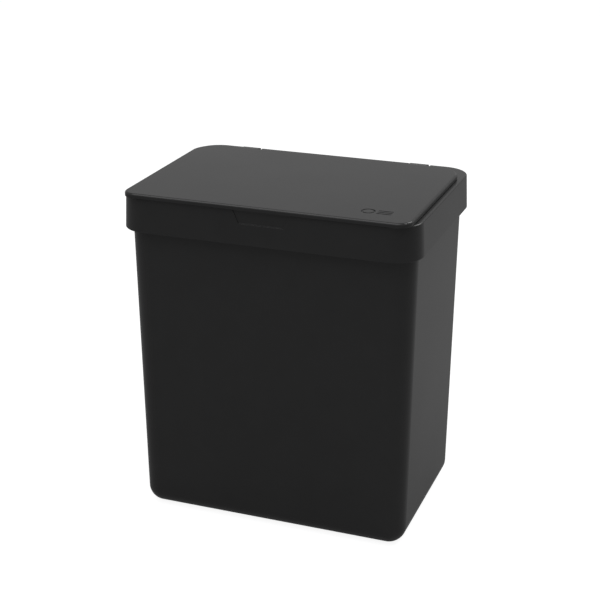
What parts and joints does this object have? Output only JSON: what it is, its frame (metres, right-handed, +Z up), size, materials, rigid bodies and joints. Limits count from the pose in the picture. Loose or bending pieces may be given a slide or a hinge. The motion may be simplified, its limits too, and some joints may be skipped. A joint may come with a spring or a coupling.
{
  "type": "lidded waste bin",
  "caption": "Black plastic kitchen waste bin: a tapered bucket, a rim frame that holds the bag, and a hinged flat lid with a finger scoop at the front.",
  "frame": {"origin": "middle of the bin's footprint, on the floor", "axes": "+Z up, -Y towards the front with the finger scoop, +X to the right as seen from the front"},
  "size_m": [0.4042, 0.2881, 0.4618],
  "materials": {
    "black_plastic": "satin",
    "pin_steel": "satin",
    "black_rubber": "matt"
  },
  "bodies": {
    "bucket": {"bucket": "black_plastic", "foot_pad_front_left": "black_rubber", "foot_pad_front_right": "black_rubber", "foot_pad_back_left": "black_rubber", "foot_pad_back_right": "black_rubber"},
    "rim_frame": {"rim_frame": "black_plastic", "hinge_pin_left": "pin_steel", "hinge_pin_right": "pin_steel"},
    "lid": {"lid": "black_plastic", "lid_buffer_left": "black_rubber", "lid_buffer_right": "black_rubber"}
  },
  "joints": [
    {"name": "frame_lift", "type": "slide", "parent": "bucket", "child": "rim_frame", "axis": [0, 0, 1], "range_m": [0, 0.06]},
    {"name": "lid_hinge", "type": "hinge", "parent": "rim_frame", "child": "lid", "pos_m": [0, 0.1358, 0.4495], "axis": [-1, 0, 0], "range_deg": [0, 100]}
  ]
}
